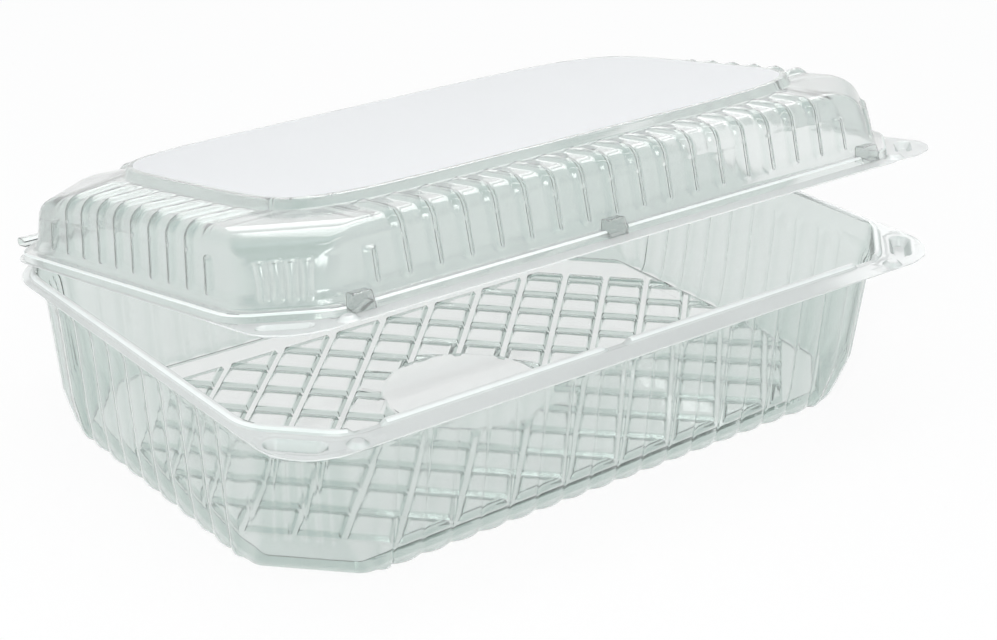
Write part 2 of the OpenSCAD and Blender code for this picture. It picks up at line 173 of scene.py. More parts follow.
class Rim:
    """All stations round the pack, from one quarter of them."""

    def __init__(self, offsets, corner_offsets):
        q = quarter(offsets, corner_offsets)
        turned = ((1, 1, q), (-1, 1, q[::-1][1:]), (-1, -1, q[1:]), (1, -1, q[::-1][1:-1]))
        s = np.concatenate([part for sx, sy, part in turned])
        self.sign = np.concatenate([np.tile((sx, sy), (len(part), 1)) for sx, sy, part in turned])
        self.point, self.normal, self.slide = s[:, 0:2], s[:, 2:4], s[:, 4:6]
        self.offset, self.half, self.kind = s[:, 6], s[:, 7], s[:, 8]
        self.to_vertex = self.ways_to_vertex()
        self.front = self.sign[:, 1] < 0
        self.along = self.share_of_corner()
        self.n = len(s)

    def ways_to_vertex(self):
        """From each station on a round blend to the sharp corner that the blend replaces."""
        by_side = self.point[:, 0] > MOUTH_A - CORNER_CUT / 2
        vertex = np.where(by_side[:, None], (MOUTH_A, MOUTH_B - CORNER_CUT), (MOUTH_A - CORNER_CUT, MOUTH_B))
        return np.where((self.kind == PLAIN)[:, None], vertex - self.point, 0)

    def share_of_corner(self):
        """Place from 0 to 1 between the last full flutes of two neighbouring sides, or -1 on a flute row."""
        start = SIDE_FLUTES * PITCH
        run = ARC_SIDE - start
        arc = BLEND_R * math.pi / 4
        flat = math.sqrt(2) * (CORNER_CUT - TANGENT)
        total = run + 2 * arc + flat + ARC_FRONT - FRONT_FLUTES * PITCH
        x, y = self.point.T
        turn = np.arctan2(self.normal[:, 1], self.normal[:, 0])
        on_flat = np.abs(turn - math.pi / 4) < TINY
        first = np.array([MOUTH_A - BLEND_R, ARC_SIDE]) + BLEND_R * DIAGONAL
        walk = run + BLEND_R * np.minimum(turn, math.pi / 4) + BLEND_R * np.maximum(turn - math.pi / 4, 0)
        walk = walk + np.where(turn > math.pi / 4 + TINY, flat, 0)
        walk = np.where(on_flat, run + arc + np.linalg.norm(self.point - first, axis=1), walk)
        walk = np.where(turn < TINY, y - start, walk)
        walk = np.where(turn > math.pi / 2 - TINY, total - (x - FRONT_FLUTES * PITCH), walk)
        return np.where(self.kind == ROW, -1, walk / total)

    def ring(self, inset, z, growth=0.0, swell=0.0, tilt=0.0, sharp=0.0):
        """Points drawn in by an inset, with longer, sharper corners, and swollen as the wall faces."""
        out = swell * math.cos(tilt) - inset
        longer = np.broadcast_to(growth, (self.n,))[:, None] * self.slide + sharp * self.to_vertex
        plan = self.point + longer + self.normal * np.broadcast_to(out, (self.n,))[:, None]
        height = np.broadcast_to(z + swell * math.sin(tilt), (self.n,))
        return np.column_stack([plan * self.sign, height])

    def flange(self, z):
        """The flange's edge: round corners at the front, parallel to the rim at the back."""
        land = np.where(np.abs(self.normal[:, 0]) > STRAIGHT, SIDE_LAND, FRONT_LAND)
        plan = self.point + self.normal * np.where(self.front, land, SIDE_LAND)[:, None]
        lengths = [FRONT - CORNER_R - SIDE_FLUTES * PITCH, CORNER_R * math.pi / 2,
                   HALF_L - CORNER_R - FRONT_FLUTES * PITCH]
        walk = self.along * sum(lengths)
        turn = np.clip((walk - lengths[0]) / CORNER_R, 0, math.pi / 2)
        x = HALF_L - CORNER_R + CORNER_R * np.cos(turn) - np.clip(walk - lengths[0] - lengths[1], 0, None)
        y = SIDE_FLUTES * PITCH + np.clip(walk, 0, lengths[0]) + CORNER_R * np.sin(turn)
        at_corner = (self.along >= 0) & self.front
        plan = np.where(at_corner[:, None], np.column_stack([x, y]), plan)
        return np.column_stack([plan * self.sign, np.full(self.n, z)])


tray_rim = Rim(TRAY_OFFSETS, CORNER_OFFSETS)
lid_rim = Rim(LID_OFFSETS, CORNER_OFFSETS)
print("stations round the tray:", tray_rim.n, "round the lid:", lid_rim.n)

# %% [markdown]
# ## Helpers for modelling
# A formed sheet has no sharp corner, so a profile is rounded at each of its points. A shell is lofted: a
# circle is added, extruded once for each ring, and each ring is then laid in its place. That is how it
# would be done by hand, with extrude and scale, but exact.

# %% Helpers
CUT_SHARE = 0.45  # the most that a rounding takes off a line


def rounded(points, radius, steps=3):
    """A row of points with each inner corner replaced by a short curve."""
    points = [np.array(p, float) for p in points]
    out = [points[0]]
    for before, corner, after in zip(points, points[1:], points[2:]):
        a, b = before - corner, after - corner
        cut = min(radius, CUT_SHARE * np.linalg.norm(a), CUT_SHARE * np.linalg.norm(b))
        p = corner + a / np.linalg.norm(a) * cut
        q = corner + b / np.linalg.norm(b) * cut
        for f in np.linspace(0, 1, steps + 1):
            out.append((1 - f) ** 2 * p + 2 * f * (1 - f) * corner + f ** 2 * q)
    out.append(points[-1])
    return out


def smooth(x):
    """A soft step from 0 to 1."""
    x = np.clip(x, 0, 1)
    return x * x * (3 - 2 * x)


def deselect():
    """Leaves nothing selected, because an operator acts on all that is selected."""
    if bpy.context.object and bpy.context.object.mode == "EDIT":
        bpy.ops.object.mode_set(mode="OBJECT")
    bpy.ops.object.select_all(action="DESELECT")


def pick(piece):
    """Makes one piece the only selected one."""
    deselect()
    piece.select_set(True)
    bpy.context.view_layer.objects.active = piece
    return piece


def loft(name, rings):
    """A skin over a row of rings: a circle, extruded once for each ring, with every ring laid in place."""
    deselect()
    bpy.ops.mesh.primitive_circle_add(vertices=len(rings[0]))
    piece = bpy.context.object
    piece.name = name
    bpy.ops.object.mode_set(mode="EDIT")
    bpy.ops.mesh.select_all(action="SELECT")
    for _ in rings[1:]:
        bpy.ops.mesh.extrude_edges_move()
    bpy.ops.object.mode_set(mode="OBJECT")
    piece.data.vertices.foreach_set("co", (np.concatenate(rings) * MM).ravel())
    piece.data.update()
    return piece


def select_edges(piece, test):
    """In edit mode, selects the edges that pass a test, and says how many."""
    bpy.ops.mesh.select_mode(type="EDGE")
    bpy.ops.mesh.select_all(action="DESELECT")
    mesh = bmesh.from_edit_mesh(piece.data)
    for edge in mesh.edges:
        edge.select = test(edge)
    mesh.select_flush(True)
    bmesh.update_edit_mesh(piece.data)
    return sum(edge.select for edge in mesh.edges)


def select_faces(piece, test):
    """In edit mode, selects the faces that pass a test."""
    bpy.ops.mesh.select_mode(type="FACE")
    bpy.ops.mesh.select_all(action="DESELECT")
    mesh = bmesh.from_edit_mesh(piece.data)
    for face in mesh.faces:
        face.select = bool(test(face))
    bmesh.update_edit_mesh(piece.data)


def apply_modifier(piece, kind, **settings):
    """Adds a modifier with its settings and applies it."""
    pick(piece)
    modifier = piece.modifiers.new(kind.lower(), kind)
    for key, value in settings.items():
        setattr(modifier, key, value)
    bpy.ops.object.modifier_apply(modifier=modifier.name)


def face_outwards(piece, is_outward):
    """Makes the faces agree, and turns them all if a test face says that they point inwards."""
    pick(piece)
    bpy.ops.object.mode_set(mode="EDIT")
    bpy.ops.mesh.select_all(action="SELECT")
    bpy.ops.mesh.normals_make_consistent(inside=False)
    bpy.ops.object.mode_set(mode="OBJECT")
    if not is_outward(piece.data):
        bpy.ops.object.mode_set(mode="EDIT")
        bpy.ops.mesh.flip_normals()
        bpy.ops.object.mode_set(mode="OBJECT")

# %% [markdown]
# ## Thickness, tint and painted shade
# The real sheet has two faces, so each skin gets its thickness from a Solidify modifier. Clear plastic shows
# its tint where light crosses it at a slant. The renderer could be left to find that, but in a sheet as thin
# as this one nearly all of the tint is lost. So every corner of a face stores a tone, worked out from how far
# the sheet leans there, and the finish reads it. The tone is partly the sheet's own tint and partly painted
# shade: it darkens slopes, upright walls and 45 degree corners in place of the dark that they reflect and
# bend.

# %% Thickness, tint and painted shade
LEVEL = 0.999  # a face that points this much up or down is shaded flat
SMOOTH_ANGLE = 38
# share of tint and painted shade by lean: most on slopes, some on upright walls
TINT_AND_SHADE_LEAN = (0, 10, 34, 50, 62, 75, 90)  # degrees from level
TINT_AND_SHADE_SHARE = (0, 0.05, 0.85, 1, 0.82, 0.64, 0.62)
# painted shade added where the sheet faces a 45 degree corner
CORNER_SHADE = 1.0  # what a 45 degree corner adds
CORNER_FOCUS = 4
# flanges keep this share of the tint and painted shade
FLANGE_TINT_AND_SHADE = 0.4


def thicken(piece):
    """Gives the skin the sheet's thickness, on the side away from its faces."""
    apply_modifier(piece, "SOLIDIFY", thickness=SHEET * MM, offset=-1, use_rim=True, use_even_offset=True,
                   thickness_clamp=1.0)
    pick(piece)
    bpy.ops.object.shade_smooth_by_angle(angle=math.radians(SMOOTH_ANGLE))
    for face in piece.data.polygons:
        face.use_smooth = abs(face.normal.z) < LEVEL
    print(f"{piece.name}: {sum(len(p.vertices) - 2 for p in piece.data.polygons)} triangles")


def flange_faces(piece, inner, low, outer=math.inf):
    """The faces above a height whose distance out from the mouth lies between two values."""
    x, y, z = np.array([face.center for face in piece.data.polygons]).T / MM
    corner = (np.abs(x) + np.abs(y) - MOUTH_A - MOUTH_B + CORNER_CUT) * DIAGONAL
    outside = np.maximum(np.maximum(np.abs(x) - MOUTH_A, np.abs(y) - MOUTH_B), corner)
    return np.nonzero((outside > inner) & (outside < outer) & (z > low))[0]


def lay_tint_and_shade(piece, depth=1.0, flange=()):
    """Stores how deep the tint and painted shade show: little on level sheet, most on slopes, some on upright
    walls.
    """
    mesh = piece.data
    normals = np.empty(len(mesh.loops) * 3, np.float32)
    mesh.corner_normals.foreach_get("vector", normals)
    x, y, z = np.abs(normals.reshape(-1, 3).T)
    lean = np.degrees(np.arccos(np.clip(z, 0, 1)))
    diagonal = 2 * x * y / np.maximum(x * x + y * y, 1e-9)
    tint_and_shade = depth * np.interp(lean, TINT_AND_SHADE_LEAN, TINT_AND_SHADE_SHARE) * (1 + CORNER_SHADE * diagonal ** CORNER_FOCUS)
    for i in flange:
        face = mesh.polygons[i]
        tint_and_shade[face.loop_start:face.loop_start + face.loop_total] *= FLANGE_TINT_AND_SHADE
    mesh.attributes.new("tint_and_shade", "FLOAT", "CORNER").data.foreach_set("value", tint_and_shade.astype(np.float32))
    print(f"{piece.name}: mean tone {tint_and_shade.mean():.2f}")

# %% [markdown]
# ## The tray's flange
# The flange carries an oblong snap and a round button in each front corner, which hold the lid shut. They
# could be cut in with booleans, but a formed sheet has soft edges. So the flange is divided finely just
# there, and its points are pressed up or down by a smooth height.

# %% Flange of the tray
BEAD_HALF = 1.3  # half width of the bead at its foot
STEP_PLAY = 0.45  # between the tray's bead and the lid's step
STEP_HALF = BEAD_HALF + SHEET + STEP_PLAY
SNAP = {"from_side": 8.7, "from_front": 12, "length": 17, "width": 7, "depth": 3}
SNAP_SLOPE = 0.62  # width of the snap's sloping side, for its depth
BUTTON_X, BUTTON_D, BUTTON_H = 99, 6, 1.2
BUTTON_Y = -(MOUTH_B + (STEP_HALF + FRONT_LAND) / 2)
MARK_MARGIN = 1
MARK_CUTS = 3
NEAR = 0.01


def snap_depth(x, y, shrink=0.0):
    """Depth of the oblong snap at a point of the flange: flat inside, with soft sloping sides."""
    cx, cy = HALF_L - SNAP["from_side"], -(FRONT - SNAP["from_front"])
    dx, dy = np.abs(x) - cx, y - cy
    run, across = (dx + dy) * DIAGONAL, (dy - dx) * DIAGONAL
    half_run = (SNAP["length"] - SNAP["width"]) / 2
    from_axis = np.hypot(np.maximum(np.abs(run) - half_run, 0), across)
    depth = SNAP["depth"] - shrink
    return depth * smooth((SNAP["width"] / 2 - shrink - from_axis) / (SNAP_SLOPE * depth))


def button_height(x, y):
    """Height of the round button at a point of the flange."""
    from_middle = np.hypot(np.abs(x) - BUTTON_X, y - BUTTON_Y)
    return BUTTON_H * smooth((BUTTON_D / 2 - from_middle) / (BUTTON_D / 4))


def near_mark(x, y):
    """Whether a point of the flange lies on or close to a snap or a button."""
    by_button = math.hypot(abs(x) - BUTTON_X, y - BUTTON_Y) < BUTTON_D / 2 + MARK_MARGIN
    return by_button or snap_depth(x, y, -MARK_MARGIN) > 0


def press_marks(piece, level, shrink=0.0):
    """Divides the flange finely round each snap and button, and presses them in."""
    def marked(place):
        x, y, z = place / MM
        return abs(z - level) < NEAR and near_mark(x, y)

    pick(piece)
    bpy.ops.object.mode_set(mode="EDIT")
    select_faces(piece, lambda face: marked(face.calc_center_median()))
    bpy.ops.mesh.subdivide(number_cuts=MARK_CUTS)
    mesh = bmesh.from_edit_mesh(piece.data)
    for vertex in mesh.verts:
        if marked(vertex.co):
            x, y, z = vertex.co / MM
            vertex.co.z += (button_height(x, y) - snap_depth(x, y, shrink)) * MM
    bmesh.update_edit_mesh(piece.data)
    bpy.ops.object.mode_set(mode="OBJECT")


def flange_rings(rim, z, foot, count):
    """Rings from the flange's edge to the foot of the bead or the step."""
    edge = rim.flange(z)
    return [edge + (foot - edge) * f for f in np.linspace(0, 1, count)]


def front_gaps(foot, gaps):
    """1 at each front station in a gap, which is given by its middle and its width, and 0 elsewhere."""
    gap = np.zeros(len(foot))
    for middle, width in gaps:
        gap[(np.abs(foot[:, 0] - middle) < width / 2) & (foot[:, 1] < 0)] = 1
    return gap


print(f"buttons at x {BUTTON_X} and y {BUTTON_Y:.1f} mm, snaps {SNAP['length']} mm long")

# %% [markdown]
# ## The tray's bead and wall
# A bead runs round the mouth, cut through where the lid's lugs come down. Below a plain band the wall is
# fluted: each flute is a shallow arc with a round top, and neighbouring flutes meet in a sharp valley. They
# run over the bevel down to the foot. Cylinders could cut them one by one, but a loft gives all of them with
# even faces. The skin made here is the outer face of the sheet.

# %% Bead and wall of the tray
BEAD_H = 1.4
BEAD_TOP = 1.4
BEAD_ROUND = 1.2
FINE = 4  # steps of the tray's roundings
BEAD_GAPS = ((-92.2, 10.6), (-8, 7.4), (92.2, 10.6))
TRAY_FLANGE_RINGS = 14
TRAY_BAND = 4.5
FLUTE_Z = RIM_Z - TRAY_BAND  # where the flutes' round tops start
FLUTE_DEPTH = 1.5
CORNER_FLUTE_DEPTH = 0.8
FLUTE_RISE = 2.5  # a flute comes up to its depth over this height
FLUTE_LEAD = 3  # the wall draws in behind the flutes' tops over this height
FLUTE_END = 1.6  # a flute runs out over this inset, at the foot
VALLEY = 0.12
WALL_DRAFT = 0.06
WALL_ROUND = 2.2
BEVEL_H = 12
KNEE_H = 2.4
FOOT_INSET = 7.2
FOOT_CORNER = 7  # how much longer a corner's legs are at the foot
FOOT_RING = 2
FLOOR_H = 2
FOOT_LINE = [(FOOT_INSET - 0.9, KNEE_H), (FOOT_INSET + 0.4, 0), (FOOT_INSET + FOOT_RING, 0),
             (FOOT_INSET + FOOT_RING + FLOOR_H, FLOOR_H)]
CORNER_GROWTH = ((0, 1), (KNEE_H, 0.85), (BEVEL_H, 0.2), (FLUTE_Z, 0))  # share of that at a height
CORNER_END, CORNER_FADE = 6, 8  # the corners' flutes end at this height, and fade over this much
TOP_RINGS = (0, 0.4, 1, 1.8, 3)
WALL_FIRST, WALL_LAST, WALL_RINGS = 5, 3, 4  # from below the flutes' tops to above the bevel
RING_APART = 0.5


def bead_rings(foot):
    """Over the bead, which stays flat in its gaps."""
    gap = front_gaps(foot, BEAD_GAPS)
    crest = RIM_Z + BEAD_H
    bead = rounded([(-BEAD_HALF, RIM_Z), (-BEAD_TOP / 2, crest), (BEAD_TOP / 2, crest), (BEAD_HALF, FLUTE_Z)],
                   BEAD_ROUND, FINE)
    return [tray_rim.ring(inset, z - gap * max(0, z - RIM_Z)) for inset, z in bead[1:-1]]


def wall_line():
    """Insets and heights of the wall's rings, from the flutes' tops to the edge of the raised floor."""
    behind = BEAD_HALF + FLUTE_DEPTH
    line = [(BEAD_HALF, FLUTE_Z), (behind, FLUTE_Z - FLUTE_LEAD),
            (behind + WALL_DRAFT * (RIM_Z - BEVEL_H), BEVEL_H)]
    line = rounded(line + FOOT_LINE, WALL_ROUND, FINE)
    insets, heights = np.array(line[::-1]).T
    down = np.concatenate([TOP_RINGS, np.linspace(WALL_FIRST, FLUTE_Z - BEVEL_H - WALL_LAST, WALL_RINGS)])
    upper = [(np.interp(z, heights, insets), z) for z in FLUTE_Z - down]
    return upper + [tuple(p) for p in line if p[1] < upper[-1][1] - RING_APART]


def flute_swell(rim, below_top, depth, corner_depth):
    """How far each station swells at a distance below the flutes' round tops."""
    swell = np.zeros(rim.n)
    for kind, deep in ((ROW, depth), (SHORT, depth), (CORNER, corner_depth)):
        at = rim.kind == kind
        half = rim.half[at]
        rise = np.clip(below_top / half, 0, 1)
        width = half * np.sqrt(1 - (1 - rise) ** 2) + TINY
        arch = np.clip(1 - (rim.offset[at] / width) ** 2, VALLEY, 1)
        swell[at] = deep * smooth(below_top / FLUTE_RISE) * arch
    return swell


def wall_rings():
    """Down the fluted wall and the bevel, round the foot and up to the edge of the raised floor."""
    rings = []
    for inset, z in wall_line():
        growth = FOOT_CORNER * np.interp(z, *zip(*CORNER_GROWTH))
        fade = smooth((FOOT_INSET + FLUTE_END - inset) / FLUTE_END)
        swell = fade * flute_swell(tray_rim, FLUTE_Z - z, FLUTE_DEPTH, CORNER_FLUTE_DEPTH)
        corner_fade = smooth((z - CORNER_END) / CORNER_FADE)
        swell = np.where(tray_rim.kind == CORNER, swell * corner_fade, swell)
        rings.append(tray_rim.ring(inset, z, growth, swell))
    return rings


bead_foot = tray_rim.ring(-BEAD_HALF, RIM_Z)
tray_rings = flange_rings(tray_rim, RIM_Z, bead_foot, TRAY_FLANGE_RINGS)
tray_rings += bead_rings(bead_foot) + wall_rings()
tray = loft("tray_sheet", tray_rings)
press_marks(tray, RIM_Z)
print("tray wall:", len(tray_rings), "rings,", len(tray.data.polygons), "faces")

# %% [markdown]
# ## The tray's floor
# The floor is a waffle of low pads, set across the corners, round a plain disc. One pad is lofted as a
# block with a soft sloping side, and two array modifiers lay out the whole field, turned by 45 degrees. A
# prism with the same slope trims the field to its outline, and a disc covers the middle. A displaced grid
# could give the pads too, but it would need a very fine mesh to keep their edges.

# %% Pads of the floor
PAD_PITCH = 14.4
PAD_GROOVE = 1.7
PAD_H = 1.6
PAD_SIDE = ((0, 0), (0.12, 0.04), (0.75, 0.7), (1.0, 0.85), (1.35, 0.94), (1.9, 0.99), (2.3, 1))
CREST = 1.35  # inset at which a pad's side reaches its crest
CELLS = 17
DISC_R = 27
DISC_SIDES = 96
DISC_RISE = 0.06
PATTERN = Vector((-3.5, -5.3, 0))
FIELD_A, FIELD_B, FIELD_CORNER = 104, 60.5, 134
FIELD_Y = -5.5
SLAB = 2


def stack(name, outline, height=PAD_H):
    """A block whose side follows a pad's soft slope. The outline gives a ring for an inset and a height."""
    levels = [(0, -SLAB / 2)] + [(inset, height * share) for inset, share in PAD_SIDE]
    return closed(loft(name, [outline(inset, z) for inset, z in levels]))


def closed(block):
    """Closes both ends of a loft."""
    pick(block)
    bpy.ops.object.mode_set(mode="EDIT")
    select_edges(block, lambda e: e.is_boundary)
    bpy.ops.mesh.edge_face_add()
    bpy.ops.mesh.select_all(action="SELECT")
    bpy.ops.mesh.normals_make_consistent(inside=False)
    bpy.ops.object.mode_set(mode="OBJECT")
    return block


def pad_outline(inset, z):
    """One pad, before it is turned."""
    half = (PAD_PITCH - PAD_GROOVE) / 2 - inset
    return np.array([(half, half, z), (-half, half, z), (-half, -half, z), (half, -half, z)])


def disc_outline(inset, z, sides=DISC_SIDES):
    """The edge of the disc in the middle of the pattern."""
    turns = np.linspace(0, 2 * math.pi, sides, endpoint=False)
    radius = DISC_R + CREST - inset
    return np.column_stack([PATTERN.x + radius * np.cos(turns), PATTERN.y + radius * np.sin(turns),
                            np.full(sides, z)])


def cut_oblong(a, b, corner, y, z):
    """An oblong of two half sizes with 45 degree corners, where x and y add up to a given value."""
    turn = [(a, corner - a), (corner - b, b)]
    half = turn + [(-x, y) for x, y in turn[::-1]]
    return np.array([(x, across + y, z) for x, across in half + [(-x, -across) for x, across in half]])


def field_outline(inset, z):
    """The edge of the field of pads, which is given at the pads' crests."""
    out = CREST - inset
    return cut_oblong(FIELD_A + out, FIELD_B + out, FIELD_CORNER + out * math.sqrt(2), FIELD_Y, z)


def combine(piece, other, operation):
    """Cuts, trims or joins a block with another, which is then gone."""
    apply_modifier(piece, "BOOLEAN", operation=operation, object=other, solver="EXACT")
    bpy.data.objects.remove(other)


def pad_field():
    """The field of pads, trimmed to its outline, with the disc over the middle ones."""
    field = stack("tray_floor", pad_outline)
    for way in ((PAD_PITCH * MM, 0, 0), (0, PAD_PITCH * MM, 0)):
        apply_modifier(field, "ARRAY", count=CELLS, use_relative_offset=False, use_constant_offset=True,
                       constant_offset_displace=way)
    half = (CELLS - 1) / 2 * PAD_PITCH
    turn = Matrix.Translation(PATTERN * MM) @ Matrix.Rotation(-math.pi / 4, 4, "Z")
    field.data.transform(turn @ Matrix.Translation(Vector((-half, -half, 0)) * MM))
    combine(field, stack("trim", field_outline), "INTERSECT")
    combine(field, stack("disc", disc_outline, PAD_H + DISC_RISE), "UNION")
    return field


field = pad_field()
print("field of pads:", len(field.data.polygons), "faces")

# %% [markdown]
# ## The floor joined to the wall
# A union with a slab makes the pads and the grooves between them one surface, and only its upper face is
# kept, as the sheet. Its edge could be merged with the wall's point by point, but the two have different
# points, so the narrow strip between them is filled.

# %% Floor joined to the wall
FLOOR_PLAY = 0.3  # width of the strip between wall and floor
EDGE_PLAY = 0.05
FLOOR_INSET = FOOT_INSET + FOOT_RING + FLOOR_H + FLOOR_PLAY
UPWARD = 0.02  # faces that point up by less than this are the slab's sides and bottom
TRAY_IN = -1.0  # flange and bead lie further out from the mouth than this
BEAD_SHARE = 0.75  # the bead's crest lies above this share of its height


def floor_outline(z):
    """The edge of the raised floor, parallel to the rim with its corners longer, as they are at the foot."""
    corner = MOUTH_A + MOUTH_B - CORNER_CUT - FOOT_CORNER - FLOOR_INSET * math.sqrt(2)
    return cut_oblong(MOUTH_A - FLOOR_INSET, MOUTH_B - FLOOR_INSET, corner, 0, z)


def floor_sheet(field):
    """The upper face of a slab with the pads on it, at the height of the floor."""
    slab = closed(loft("slab", [floor_outline(-SLAB), floor_outline(0)]))
    combine(field, slab, "UNION")
    pick(field)
    bpy.ops.object.mode_set(mode="EDIT")
    select_faces(field, lambda face: face.normal.z < UPWARD)
    bpy.ops.mesh.delete(type="FACE")
    bpy.ops.mesh.select_all(action="SELECT")
    bpy.ops.mesh.remove_doubles(threshold=NEAR * MM)
    bpy.ops.object.mode_set(mode="OBJECT")
    field.data.transform(Matrix.Translation((0, 0, FLOOR_H * MM)))
    print("floor sheet:", len(field.data.polygons), "faces")
    return field


def join_floor(tray, floor):
    """Joins the floor to the wall and fills the strip between their two edges."""
    pick(tray)
    floor.select_set(True)
    bpy.ops.object.join()
    bpy.ops.object.mode_set(mode="EDIT")
    inner = (FLOOR_H + EDGE_PLAY) * MM
    count = select_edges(tray, lambda e: e.is_boundary and all(v.co.z < inner for v in e.verts))
    bpy.ops.mesh.fill(use_beauty=False)
    bpy.ops.object.mode_set(mode="OBJECT")
    print("edges joined between wall and floor:", count)


join_floor(tray, floor_sheet(field))
face_outwards(tray, lambda mesh: min(mesh.polygons, key=lambda p: p.center.xy.length).normal.z < 0)
thicken(tray)
# The flange's faces get the pale finish, a painted sheen, and less of the tone.
tray_flange = flange_faces(tray, TRAY_IN, RIM_Z - SNAP["depth"] - SHEET)
# The bead's crest gets a near opaque finish, a painted highlight line.
tray_bead = flange_faces(tray, TRAY_IN, RIM_Z + BEAD_SHARE * BEAD_H, BEAD_HALF)
lay_tint_and_shade(tray, flange=tray_flange)

# %% [markdown]
# ## The lid's flange and step
# The lid repeats the tray's flange and steps up over the tray's bead, so that the two halves nest. It could
# be modelled where it stands, but it is simpler to work it out closed, with heights from the hinge axis, and
# to swing the finished piece open about that axis.

# %% Flange and step of the lid
LUGS_X = (-92, -8, 92)
LUG_L = 7
LID_Z = FLANGE_GAP / 2  # under face of the lid's flange
LID_FACE = LID_Z + SHEET
LID_FLANGE_RINGS = 10
STEP_H = 2.2
STEP_LEAN = 0.5
STEP_ROUND = 0.6
LID_BAND = 1.6
BAND_LEAN = 0.2
RIB_Z = LID_FACE + STEP_H + LID_BAND  # where the ribs start


def step_rings(foot):
    """Over the step and the plain band to the foot of the ribs. Under each lug the step is cut through."""
    gap = front_gaps(foot, [(x, LUG_L - 2 * SHEET) for x in LUGS_X])
    out, top = -STEP_HALF - SHEET, LID_FACE + STEP_H
    line = [(out, LID_FACE), (out + STEP_LEAN, top), (BEAD_HALF, top), (BEAD_HALF + BAND_LEAN, RIB_Z)]
    step = rounded(line, STEP_ROUND)
    return [lid_rim.ring(inset, z - gap * (min(z, top) - LID_FACE)) for inset, z in step[1:-1]]


step_foot = lid_rim.ring(-STEP_HALF - SHEET, LID_FACE)
lid_rings = flange_rings(lid_rim, LID_FACE, step_foot, LID_FLANGE_RINGS) + step_rings(step_foot)
print("rings of the lid's flange and step:", len(lid_rings))

# %% [markdown]
# ## The lid's ribbed wall
# Narrow ribs with round feet stiffen the wall, and each corner has four small flutes, above which it bends
# over in a wide round. Ribs could be joined on as rods, but a formed sheet has no seams. Each station
# already knows how far it is from the middle of its rib, so the rings are swollen there.

# %% Ribbed wall of the lid
RIB_DEPTH = 1.4
RIB_W = 5.2
RIB_SOFT = 2.2  # width of a rib's sloping side
RIB_LEAD = 2  # the wall draws in behind the ribs' feet over this height
RIB_RISE = 1.6  # a rib comes up to its depth over this height
SHOULDER_H = 21.5
SHOULDER_R = 4.5
SHOULDER_Z = LID_Z + SHOULDER_H
SHOULDER_CORNER = 10  # how much longer a corner's legs are at the shoulder
WALL_H = SHOULDER_Z - SHOULDER_R - RIB_Z
WALL_TOP = BEAD_HALF + RIB_DEPTH + WALL_DRAFT * (SHOULDER_H - STEP_H)  # inset of the wall at its top
CORNER_STEP = 0.6  # the corners' flutes end at this share of the height
CORNER_RIB = 0.8
CORNER_START = 0.28  # the corners start to bend over at this share of the height
CORNER_TOP, CORNER_TAPER = 0.35, 0.75
FACET_SHARP = 0.3
FACET_RISE = 1.5
ROOF_DROP = 3.4
FLUTES_END = (SHOULDER_Z - RIB_Z) * CORNER_STEP
FOOT_RINGS = (0, 0.5, 1.1, 1.8, 2.6, 4.2)
END_RINGS = np.array([-1.2, -0.4, 0.0, CORNER_TOP])
UPPER_FIRST, UPPER_RINGS = 0.9, 3


def rib_share(rim, half_w):
    """Share of a rib's depth at each station, for ribs of a given half width."""
    edge = np.minimum(RIB_SOFT, half_w * RIB_SOFT / RIB_W * 2)
    return smooth((half_w - np.abs(rim.offset)) / np.maximum(edge, TINY))


def corner_lean(z):
    """Share of the corner's lean at a height: it bends over in a quarter of a round up to the shoulder."""
    start = RIB_Z + CORNER_START * (SHOULDER_Z - RIB_Z)
    return 1 - math.sqrt(1 - np.clip((z - start) / (SHOULDER_Z - start), 0, 1) ** 2)


def lowered(ring, share=1):
    """Sinks a ring a little at the back, by a share of what the shoulder sinks there."""
    ring[:, 2] -= ROOF_DROP * smooth(ring[:, 1] / MOUTH_B) * share
    return ring


def rib_rings():
    """Up the ribbed wall to the start of the shoulder's round."""
    heights = np.concatenate([FOOT_RINGS, FLUTES_END + END_RINGS,
                              np.linspace(FLUTES_END + UPPER_FIRST, WALL_H, UPPER_RINGS)])
    insets = (BEAD_HALF + BAND_LEAN, BEAD_HALF + RIB_DEPTH, WALL_TOP)
    ends = np.isin(lid_rim.kind, (SHORT, CORNER))
    corner_share = CORNER_RIB * np.clip(1 - (lid_rim.offset / lid_rim.half) ** 2, 0, 1)
    rings = []
    for up in heights:
        inset = np.interp(up, (0, RIB_LEAD, WALL_H), insets)
        half_w = RIB_W / 2 * math.sqrt(1 - (1 - min(1, up / (RIB_W / 2))) ** 2) + TINY
        share = np.where(lid_rim.kind == CORNER, corner_share, rib_share(lid_rim, half_w))
        share = np.where(ends, share * smooth((FLUTES_END + CORNER_TOP - up) / CORNER_TAPER), share)
        share = np.where(lid_rim.kind == PLAIN, 0, share) * smooth(up / RIB_RISE)
        sharp = FACET_SHARP * smooth((up - FLUTES_END) / FACET_RISE)
        growth = SHOULDER_CORNER * corner_lean(RIB_Z + up)
        ring = lid_rim.ring(inset, RIB_Z + up, growth, RIB_DEPTH * share, sharp=sharp)
        rings.append(lowered(ring, up / WALL_H))
    return rings


lid_rings += rib_rings()
print(f"the ribs start {RIB_Z:.2f} mm over the hinge axis, and the wall ends {WALL_H:.2f} mm further up")

# %% [markdown]
# ## The lid's shoulder and panel
# The ribs bend over the shoulder and end just before the raised panel, an oblong with soft corners. A bevel
# could round the shoulder, but it would break up the ribs that cross it. So the rings turn over the round
# themselves, in even steps, and then close in on the panel's outline.

